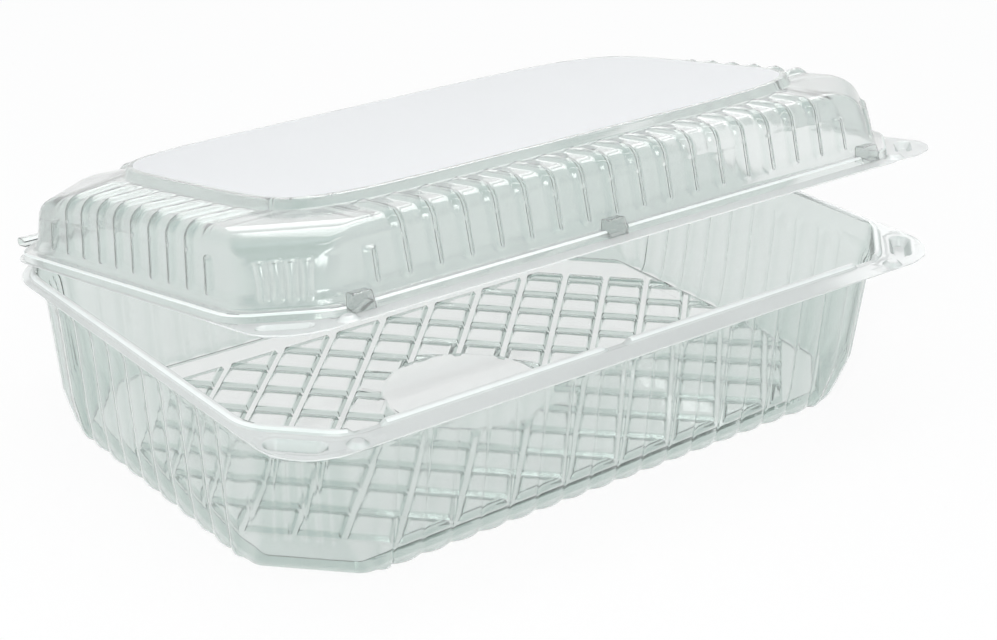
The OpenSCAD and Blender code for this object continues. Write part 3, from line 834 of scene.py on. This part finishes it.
# %% Shoulder and panel of the lid
SHOULDER_TILTS = (18, 36, 54, 72, 90)
ROOF_STEPS = (0.3, 0.55, 0.75, 0.88, 1.0)
BAR_END = 2  # from the ribs' ends to the panel
PANEL_A, PANEL_B = 98, 57
PANEL_POWER = 5.8  # how square the corners are: 2 is an ellipse
PANEL_SHIFT, SHIFT_FOCUS = 4, 4  # the panel's ends lie a little to the right
PANEL_RISE = 2.8
PANEL_LEAN = 0.3
PANEL_LIP = 1.6
PANEL_ROUND = 0.9


def panel_ring(grow, z):
    """The outline of the raised panel, a rounded oblong that the ribs meet square to the sides."""
    side_turn = math.asin((SIDE_FLUTES * PITCH / PANEL_B) ** (PANEL_POWER / 2))
    front_turn = math.acos((FRONT_FLUTES * PITCH / PANEL_A) ** (PANEL_POWER / 2))
    x, y = lid_rim.point.T
    side = np.arcsin(np.clip(y / PANEL_B, 0, 1) ** (PANEL_POWER / 2))
    front = np.arccos(np.clip(x / PANEL_A, 0, 1) ** (PANEL_POWER / 2))
    turn = np.where(lid_rim.normal[:, 0] > STRAIGHT, side, front)
    turn = np.where(lid_rim.along >= 0, side_turn + (front_turn - side_turn) * lid_rim.along, turn)
    along, across = np.cos(turn) ** (2 / PANEL_POWER), np.sin(turn) ** (2 / PANEL_POWER)
    x = (PANEL_A + grow) * along * lid_rim.sign[:, 0] + PANEL_SHIFT * along ** SHIFT_FOCUS
    return np.column_stack([x, (PANEL_B + grow) * across * lid_rim.sign[:, 1], np.full(lid_rim.n, z)])


def shoulder_rings(share):
    """Over the round of the shoulder, with the ribs bending over it."""
    rings = []
    for tilt in np.radians(SHOULDER_TILTS):
        inset = WALL_TOP + SHOULDER_R * (1 - math.cos(tilt))
        z = SHOULDER_Z - SHOULDER_R * (1 - math.sin(tilt))
        growth = SHOULDER_CORNER * corner_lean(z)
        rings.append(lowered(lid_rim.ring(inset, z, growth, RIB_DEPTH * share, tilt, FACET_SHARP)))
    return rings


def roof_rings(share):
    """From the shoulder to the panel, with the ribs running out on the way."""
    start = lowered(lid_rim.ring(WALL_TOP + SHOULDER_R, SHOULDER_Z, SHOULDER_CORNER, sharp=FACET_SHARP))
    way = panel_ring(BAR_END / 2, SHOULDER_Z) - start
    length = np.linalg.norm(way[:, :2], axis=1)
    rings = []
    for f in ROOF_STEPS:
        ring = start + way * f
        left = length * (1 - f) - BAR_END / 2
        ring[:, 2] += RIB_DEPTH * share * np.sqrt(np.clip(left / (RIB_W / 2), 0, 1))
        rings.append(ring)
    return rings


def panel_rings():
    """Up the side of the raised panel to the edge of its flat top."""
    lean, top = PANEL_RISE * PANEL_LEAN, SHOULDER_Z + PANEL_RISE
    side = [(BAR_END / 2, SHOULDER_Z), (0, SHOULDER_Z), (-lean, top), (-lean - PANEL_LIP, top)]
    return [panel_ring(grow, z) for grow, z in rounded(side, PANEL_ROUND)[1:]]


full_ribs = np.where(lid_rim.kind == ROW, rib_share(lid_rim, RIB_W / 2), 0)
lid_rings += shoulder_rings(full_ribs) + roof_rings(full_ribs) + panel_rings()
print("rings of the whole lid:", len(lid_rings))

# %% [markdown]
# ## The lid, closed and swung open
# The rings are lofted, the marks pressed in as on the tray, and the panel's top is filled as one flat face.
# A parent with a turn could hold the lid open, but a finished piece has its place in its mesh, so the mesh
# itself is turned about the hinge axis.

# %% Lid
SNAP_PLAY = 0.5  # the lid's snap is smaller than the tray's by this and the sheet
LID_TINT_AND_SHADE = 0.58
STEP_FOOT = 0.1  # the flange's faces are found from just inside the step's foot
STEP_IN = 1.0  # the step's edge lies further out from the mouth than this
STEP_SHARE = 0.6  # and above this share of its height


def close_panel(lid):
    """Fills the open end of the loft with the flat top of the panel."""
    pick(lid)
    bpy.ops.object.mode_set(mode="EDIT")
    select_edges(lid, lambda e: e.is_boundary and all(v.co.z > SHOULDER_H * MM for v in e.verts))
    bpy.ops.mesh.edge_face_add()
    bpy.ops.object.mode_set(mode="OBJECT")


def swing_open(piece):
    """Takes a piece of the closed lid, with heights from the hinge axis, to where the lid stands."""
    axis = Vector((0, HINGE_Y, 0)) * MM
    stand = axis + Vector((0, 0, HINGE_Z)) * MM
    turn = Matrix.Translation(stand) @ Matrix.Rotation(-OPEN_ANGLE, 4, "X") @ Matrix.Translation(-axis)
    piece.data.transform(turn)
    piece.data.update()


lid = loft("lid_sheet", lid_rings)
press_marks(lid, LID_FACE, SHEET + SNAP_PLAY)
close_panel(lid)
face_outwards(lid, lambda mesh: max(mesh.polygons, key=lambda p: p.area).normal.z > 0)
thicken(lid)
# The lid's flange faces get the pale finish, a painted sheen, and less of the tone.
lid_flange = flange_faces(lid, STEP_HALF + SHEET - STEP_FOOT, LID_Z - SNAP["depth"])
# The step's edge gets a near opaque finish, a painted highlight line.
lid_step = flange_faces(lid, STEP_IN, LID_FACE + STEP_SHARE * STEP_H)
lay_tint_and_shade(lid, LID_TINT_AND_SHADE, lid_flange)
swing_open(lid)

# %% [markdown]
# ## Camera
# The camera stands where the photograph's did. It could be placed by eye, but the rim and the flutes are
# straight and evenly spaced, so the viewing angle, the distance and the lens were worked out from them. It
# leans a little, as the photograph does.

# %% Camera
PHOTO_W = 997
FOCAL_PX = 2098
SENSOR = 36
AZIMUTH, ELEVATION, ROLL = -38.26, 24.55, 0.88
DISTANCE = 0.6463
AIM = Vector((0.00163, -0.01389, 0.030))

camera = bpy.data.objects.new("camera", bpy.data.cameras.new("camera"))
bpy.context.scene.collection.objects.link(camera)
az, el, roll = (math.radians(v) for v in (AZIMUTH, ELEVATION, ROLL))
back = Vector((math.sin(az) * math.cos(el), -math.cos(az) * math.cos(el), math.sin(el)))
right = Vector((0, 0, 1)).cross(back).normalized()
up = back.cross(right)
right, up = right * math.cos(roll) + up * math.sin(roll), up * math.cos(roll) - right * math.sin(roll)
turn = Matrix((right, up, back)).transposed().to_4x4()
camera.matrix_world = Matrix.Translation(AIM + back * DISTANCE) @ turn
camera.data.sensor_width = SENSOR
camera.data.lens = FOCAL_PX * SENSOR / PHOTO_W
bpy.context.scene.camera = camera
print(f"camera {DISTANCE * 1000:.0f} mm away, with a lens of {camera.data.lens:.1f} mm")

# %% [markdown]
# ## Lugs on the lid
# Three small hollow blocks stand on the step of the lid's front rim and drop over the gaps in the tray's
# bead. They could be pulled out of the lid's own rings, but those have no station at a lug's edges. So a
# lug is modelled from a cube: its bottom is deleted, its top drawn in, its edges bevelled and its wall given
# the sheet's thickness. It is made three times, each with its own mesh.

# %% Lugs
LUG_H = 5
LUG_TAPER = 1
LUG_PROUD = 0.5
LUG_ROUND, LUG_STEPS = 0.6, 3
LUG_TINT_AND_SHADE = 0.1


def lug(name, x):
    """A hollow block with its open side down, over a gap in the step of the lid's front rim."""
    front, wall = -MOUTH_B - STEP_HALF - SHEET - LUG_PROUD, -MOUTH_B + BEAD_HALF
    depth = wall - front
    deselect()
    bpy.ops.mesh.primitive_cube_add(size=1)
    piece = bpy.context.object
    piece.name = name
    piece.scale = (LUG_L * MM, depth * MM, LUG_H * MM)
    bpy.ops.object.transform_apply(location=False, rotation=False, scale=True)
    bpy.ops.object.mode_set(mode="EDIT")
    select_faces(piece, lambda face: face.normal.z < -DIAGONAL)
    bpy.ops.mesh.delete(type="FACE")
    mesh = bmesh.from_edit_mesh(piece.data)
    for vertex in mesh.verts:
        if vertex.co.z > 0:
            vertex.co.x *= 1 - LUG_TAPER / LUG_L
            vertex.co.y += LUG_TAPER / 2 * MM * (vertex.co.y < 0)
    bmesh.update_edit_mesh(piece.data)
    select_edges(piece, lambda e: not e.is_boundary)
    bpy.ops.mesh.bevel(offset=LUG_ROUND * MM, segments=LUG_STEPS)
    bpy.ops.object.mode_set(mode="OBJECT")
    middle = Vector((x, (front + wall) / 2, LID_FACE + LUG_H / 2))
    piece.data.transform(Matrix.Translation(middle * MM))
    thicken(piece)
    lay_tint_and_shade(piece, LUG_TINT_AND_SHADE)
    swing_open(piece)
    return piece


lugs = [lug(f"lid_lug_{i + 1}", x) for i, x in enumerate(LUGS_X)]

# %% [markdown]
# ## The crease
# The back of the sheet runs to the hinge, folds over and runs back into the lid. A plane makes the first
# web, a spin about the hinge axis makes the fold, and an extrusion makes the second web. A bent plane could
# do the same, but the spin keeps the fold a true round about the axis on which the lid turns.

# %% Crease
HINGE_L = 216
HINGE_R = 0.9
WEB_LAP = 0.1
WEB_START = MOUTH_B + SIDE_LAND - WEB_LAP
FOLD_STEPS = 24


def crease():
    """The folded strip between tray and lid, with its outer face outwards."""
    outer = HINGE_R + SHEET
    level = FLANGE_GAP / 2 + SHEET
    c, s = math.cos(OPEN_ANGLE), math.sin(OPEN_ANGLE)
    deselect()
    bpy.ops.mesh.primitive_plane_add(size=1)
    strip = bpy.context.object
    strip.name = "hinge_crease"
    for vertex in strip.data.vertices:
        near = vertex.co.y < 0
        y, z = (WEB_START, HINGE_Z - level) if near else (HINGE_Y, HINGE_Z - outer)
        vertex.co = (math.copysign(HINGE_L / 2, vertex.co.x) * MM, y * MM, z * MM)
    bpy.ops.object.mode_set(mode="EDIT")
    select_edges(strip, lambda e: all(v.co.y > (HINGE_Y - NEAR) * MM for v in e.verts))
    bpy.ops.mesh.spin(steps=FOLD_STEPS, angle=OPEN_ANGLE - math.pi, center=(0, HINGE_Y * MM, HINGE_Z * MM),
                      axis=(1, 0, 0))
    web = WEB_START - HINGE_Y
    end = Vector((0, c * web + s * level, -s * web + c * level))
    fold_end = Vector((0, s * outer, c * outer))
    bpy.ops.mesh.extrude_edges_move(TRANSFORM_OT_translate={"value": (end - fold_end) * MM})
    bpy.ops.object.mode_set(mode="OBJECT")
    return strip


strip = crease()
face_outwards(strip, lambda mesh: mesh.polygons[0].normal.z < 0)
thicken(strip)
lay_tint_and_shade(strip)

# %% [markdown]
# ## Clear finishes
# The sheet is clear, with a faint cold green that deepens where the tone is high, as tint and painted shade.
# A glass shader could give it, but the Principled shader can also be made a little milky. The lid is hazier
# than the tray. The flanges are paler, a painted sheen for the softbox light that they reflect, and the
# rolled edges of bead and step are the palest, a painted highlight for the thin lines of light that they
# catch. A slow noise gives the slight waviness that the hot mould leaves.

# %% Clear finishes
LIGHT_TINT = (0.94, 0.955, 0.95)
# colour at full tone: the sheet's deep tint together with painted shade
DEEP_TINT_AND_SHADE = (0.7, 0.77, 0.745)
SHEET_IOR = 1.5
WAVE_HEIGHT = 0.2
WAVE_DETAIL = 2
CLEAR_WAVE = {"strength": 0.06, "scale": 160}


def bumped(nodes, links, strength, scale):
    """The waviness of a drawn sheet, as a bump that follows the piece."""
    place = nodes.new("ShaderNodeTexCoord")
    slow = nodes.new("ShaderNodeTexNoise")
    slow.inputs["Scale"].default_value = scale
    slow.inputs["Detail"].default_value = WAVE_DETAIL
    bump = nodes.new("ShaderNodeBump")
    bump.inputs["Strength"].default_value = strength
    bump.inputs["Distance"].default_value = WAVE_HEIGHT * MM
    links.new(place.outputs["Object"], slow.inputs["Vector"])
    links.new(slow.outputs["Fac"], bump.inputs["Height"])
    return bump.outputs["Normal"]


def new_material(name, **values):
    """A material with values set on its Principled shader, where _ stands for a space in a socket's name."""
    material = bpy.data.materials.new(name)
    material.use_nodes = True
    nodes, links = material.node_tree.nodes, material.node_tree.links
    shader = nodes["Principled BSDF"]
    for socket, value in values.items():
        shader.inputs[socket.replace("_", " ")].default_value = value
    return material, nodes, links, shader


def clear_material(name, roughness, clearness):
    """The clear sheet: tinted transmission, deeper on slopes as tint and painted shade, with gloss and a
    slight waviness.
    """
    material, nodes, links, shader = new_material(name, Roughness=roughness, IOR=SHEET_IOR,
                                                  Transmission_Weight=clearness)
    # reads the stored tone, the share of tint and painted shade
    tint_and_shade = nodes.new("ShaderNodeAttribute")
    tint_and_shade.attribute_name = "tint_and_shade"
    tint_and_shade_mix = nodes.new("ShaderNodeMix")
    tint_and_shade_mix.data_type = "RGBA"
    tint_and_shade_mix.inputs["A"].default_value = (*LIGHT_TINT, 1)
    tint_and_shade_mix.inputs["B"].default_value = (*DEEP_TINT_AND_SHADE, 1)
    links.new(tint_and_shade.outputs["Fac"], tint_and_shade_mix.inputs["Factor"])
    links.new(tint_and_shade_mix.outputs["Result"], shader.inputs["Base Color"])
    links.new(bumped(nodes, links, **CLEAR_WAVE), shader.inputs["Normal"])
    return material


clear = clear_material("clear_sheet", 0.05, 0.95)
hazy = clear_material("hazy_sheet", 0.1, 0.88)
# pale: a milkier copy of the sheet on the flanges, a painted sheen for the softbox light they reflect
painted_sheen = clear_material("pale_painted_sheen", 0.2, 0.4)
# rolled: a near opaque copy of the sheet on the crests of bead and step, a painted highlight for the lamp
# they catch
painted_highlight = clear_material("bead_painted_highlight", 0.2, 0.1)
print("clear finishes:", [material.name for material in (clear, hazy, painted_sheen, painted_highlight)])

# %% [markdown]
# ## Satin panel
# The top of the panel is a pale satin field that hides most of what lies under it. Frosting could be
# modelled as fine relief, but at this size a rough shader with a fine bump looks the same and costs nothing.

# %% Satin panel
SATIN = {"Base_Color": (0.93, 0.935, 0.945, 1), "Roughness": 0.45, "Specular_IOR_Level": 0.1,
         "IOR": SHEET_IOR, "Transmission_Weight": 0.3}
SATIN_WAVE = {"strength": 0.1, "scale": 700}

satin, nodes, links, shader = new_material("satin_panel", **SATIN)
links.new(bumped(nodes, links, **SATIN_WAVE), shader.inputs["Normal"])
print("panel finish:", satin.name)

# %% [markdown]
# ## Finishes and bodies
# Each piece gets its main finish, and the body that it moves with. The fold is given to neither body and
# stays where it is made. It could ride on one of them, but it would then tear off the other. Flanges, rolled
# edges and the panel's top get their own finish by their faces.

# %% Finishes and bodies
PANEL_SHARE = 0.5  # a face with this share of the largest one is the panel's top or its under side


def finish(piece, material, body):
    """Gives a piece its finish and the body that it moves with."""
    piece.data.materials.clear()
    piece.data.materials.append(material)
    if body:
        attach(piece, body)


def finish_faces(piece, material, faces):
    """Gives some faces of a piece a finish of their own."""
    piece.data.materials.append(material)
    for i in faces:
        piece.data.polygons[i].material_index = len(piece.data.materials) - 1
    print(f"{piece.name}: {len(faces)} faces in {material.name}")


finish(tray, clear, "tray")
finish(lid, hazy, "lid")
for piece in lugs:
    finish(piece, clear, "lid")
finish(strip, clear, None)
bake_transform(strip)
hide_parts("tray")
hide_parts("lid")
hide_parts("living_hinge")

# Flanges get the painted sheen, and the crests of bead and step the painted highlight.
for piece, flange, edge in ((tray, tray_flange, tray_bead), (lid, lid_flange, lid_step)):
    finish_faces(piece, painted_sheen, flange)
    finish_faces(piece, painted_highlight, edge)
largest = max(face.area for face in lid.data.polygons)
finish_faces(lid, satin, [face.index for face in lid.data.polygons if face.area > PANEL_SHARE * largest])

# %% [markdown]
# ## Surround
# The pack stands in white, and its shape is drawn by what its gloss shows. A plain white world would leave
# the walls without edges, so gloss sees a room that is dark on one side. What the camera sees directly or
# through the sheet stays white, and surfaces are lit by a soft grey.

# %% Surround
WHITE = (1, 1, 1, 1)
SOFT_LIGHT = (0.70, 0.72, 0.73, 1)
DARK_ROOM = (0.12, 0.13, 0.13, 1)
DARK_SIDE = (-0.62, -0.785, 0)
DARK_EDGE = 0.3
DARK_BY_HEIGHT = ((0.0, 0), (0.12, 0), (0.3, 1), (0.93, 1), (0.99, 0))


def white_for_sight(nodes, links):
    """A factor that is 1 for rays from the camera, gloss or clear sheet, and 0 for light on surfaces."""
    path = nodes.new("ShaderNodeLightPath")
    total = None
    for ray in ("Is Camera Ray", "Is Glossy Ray", "Is Transmission Ray"):
        if total is None:
            total = path.outputs[ray]
            continue
        either = nodes.new("ShaderNodeMath")
        either.operation = "MAXIMUM"
        links.new(total, either.inputs[0])
        links.new(path.outputs[ray], either.inputs[1])
        total = either.outputs[0]
    return total


def room_in_gloss(nodes, links):
    """What gloss shows of the room: white, and dark from knee height up on one side."""
    place = nodes.new("ShaderNodeTexCoord")
    split = nodes.new("ShaderNodeSeparateXYZ")
    height = nodes.new("ShaderNodeValToRGB")
    for at, grey in DARK_BY_HEIGHT:
        stop = height.color_ramp.elements.new(at)
        stop.color = (grey, grey, grey, 1)
    toward = nodes.new("ShaderNodeVectorMath")
    toward.operation = "DOT_PRODUCT"
    toward.inputs[1].default_value = DARK_SIDE
    side = nodes.new("ShaderNodeMapRange")
    side.inputs["From Min"].default_value = 0.0
    side.inputs["From Max"].default_value = DARK_EDGE
    share = nodes.new("ShaderNodeMath")
    share.operation = "MULTIPLY"
    room = nodes.new("ShaderNodeMix")
    room.data_type = "RGBA"
    room.inputs["A"].default_value = WHITE
    room.inputs["B"].default_value = DARK_ROOM
    links.new(place.outputs["Generated"], split.inputs["Vector"])
    links.new(place.outputs["Generated"], toward.inputs[0])
    links.new(split.outputs["Z"], height.inputs["Fac"])
    links.new(toward.outputs["Value"], side.inputs["Value"])
    links.new(height.outputs["Color"], share.inputs[0])
    links.new(side.outputs["Result"], share.inputs[1])
    links.new(share.outputs[0], room.inputs["Factor"])
    return room.outputs["Result"]


def surround():
    """White to the eye, a room in the gloss, and a soft grey light on surfaces."""
    world = bpy.data.worlds.new("surround")
    bpy.context.scene.world = world
    world.use_nodes = True
    nodes, links = world.node_tree.nodes, world.node_tree.links
    soft = nodes["Background"]
    soft.inputs["Color"].default_value = SOFT_LIGHT
    white = nodes.new("ShaderNodeBackground")
    path = nodes.new("ShaderNodeLightPath")
    seen = nodes.new("ShaderNodeMix")
    seen.data_type = "RGBA"
    seen.inputs["A"].default_value = WHITE
    links.new(path.outputs["Is Glossy Ray"], seen.inputs["Factor"])
    links.new(room_in_gloss(nodes, links), seen.inputs["B"])
    links.new(seen.outputs["Result"], white.inputs["Color"])
    mix = nodes.new("ShaderNodeMixShader")
    links.new(white_for_sight(nodes, links), mix.inputs["Fac"])
    links.new(soft.outputs[0], mix.inputs[1])
    links.new(white.outputs[0], mix.inputs[2])
    links.new(mix.outputs[0], nodes["World Output"].inputs["Surface"])


surround()
print("surround:", bpy.context.scene.world.name)

# %% [markdown]
# ## Studio floor
# The floor is a wide pale sheet. A pure white glow would lose the shadow that makes the pack stand, and a
# plain surface would look grey. So the floor is mostly glow where it is seen, and a pale matt surface for
# the rest.

# %% Studio floor
FLOOR_SIZE = 8
FLOOR_DROP = 0.0002
FLOOR_GREY = (0.9, 0.9, 0.9, 1)
FLOOR_GLOW = 0.9


def studio_floor():
    """A wide pale floor that shows white and keeps some of the shadow."""
    deselect()
    bpy.ops.mesh.primitive_plane_add(size=FLOOR_SIZE, location=(0, 0, -FLOOR_DROP))
    floor = bpy.context.object
    floor.name = "studio_floor"
    material, nodes, links, shader = new_material("studio_floor", Base_Color=FLOOR_GREY, Roughness=1,
                                                  Specular_IOR_Level=0)
    glow = nodes.new("ShaderNodeEmission")
    share = nodes.new("ShaderNodeMath")
    share.operation = "MULTIPLY"
    share.inputs[1].default_value = FLOOR_GLOW
    mix = nodes.new("ShaderNodeMixShader")
    links.new(white_for_sight(nodes, links), share.inputs[0])
    links.new(share.outputs[0], mix.inputs["Fac"])
    links.new(shader.outputs[0], mix.inputs[1])
    links.new(glow.outputs[0], mix.inputs[2])
    links.new(mix.outputs[0], nodes["Material Output"].inputs["Surface"])
    floor.data.materials.append(material)


studio_floor()
print(f"floor {FLOOR_SIZE} m wide, {FLOOR_GLOW:.0%} glow")

# %% [markdown]
# ## Lamps
# Two soft lamps light the surfaces and the floor, and three others are there only for gloss: they lay bright
# streaks on the shoulder, the flange and the panel. One strong lamp could do both, but pale parts would then
# clip to white.

# %% Lamps
SOFT_LAMPS = {"top_lamp": ((0, 0.1, 0.9), (0, 0, 0), (1.2, 0.16), 1.0),
              "left_lamp": ((-0.7, -0.8, 0.6), (0, 0, 0.04), (0.5, 0.3), 8)}
SHINE_LAMPS = {"shine_lamp": ((0.25, 0.31, 0.97), (0, 0, 0.04), (0.8, 0.8), 9),
               "back_lamp": ((0.9, 1.14, 0.7), (0, 0, 0.04), (1.0, 0.5), 2.8),
               "front_lamp": ((-0.29, -0.37, 0.92), (0, 0, 0.04), (0.8, 0.1), 1.3)}


def lamp(name, place, target, size, watts):
    """An oblong soft lamp that looks at a point."""
    light = bpy.data.lights.new(name, "AREA")
    light.shape = "RECTANGLE"
    light.size, light.size_y = size
    light.energy = watts
    holder = bpy.data.objects.new(name, light)
    bpy.context.scene.collection.objects.link(holder)
    holder.location = place
    holder.rotation_euler = (Vector(target) - Vector(place)).to_track_quat("-Z", "Y").to_euler()
    print(f"{name}: {watts} W")
    return holder


for name, setting in SOFT_LAMPS.items():
    lamp(name, *setting).visible_glossy = False
for name, setting in SHINE_LAMPS.items():
    holder = lamp(name, *setting)
    holder.visible_camera = holder.visible_diffuse = holder.visible_transmission = False

# %% [markdown]
# ## Render settings
# Light crosses many thin sheets here, one behind the other. With few bounces it would stop half way and leave
# black patches, so the number of bounces is raised.

# %% Render settings
SHEET_BOUNCES = 40
GLOSS_BOUNCES = 8

scene = bpy.context.scene
scene.view_settings.view_transform = "Standard"
scene.cycles.max_bounces = SHEET_BOUNCES
scene.cycles.transmission_bounces = SHEET_BOUNCES
scene.cycles.glossy_bounces = GLOSS_BOUNCES
print("bounces:", SHEET_BOUNCES, "in gloss:", GLOSS_BOUNCES)
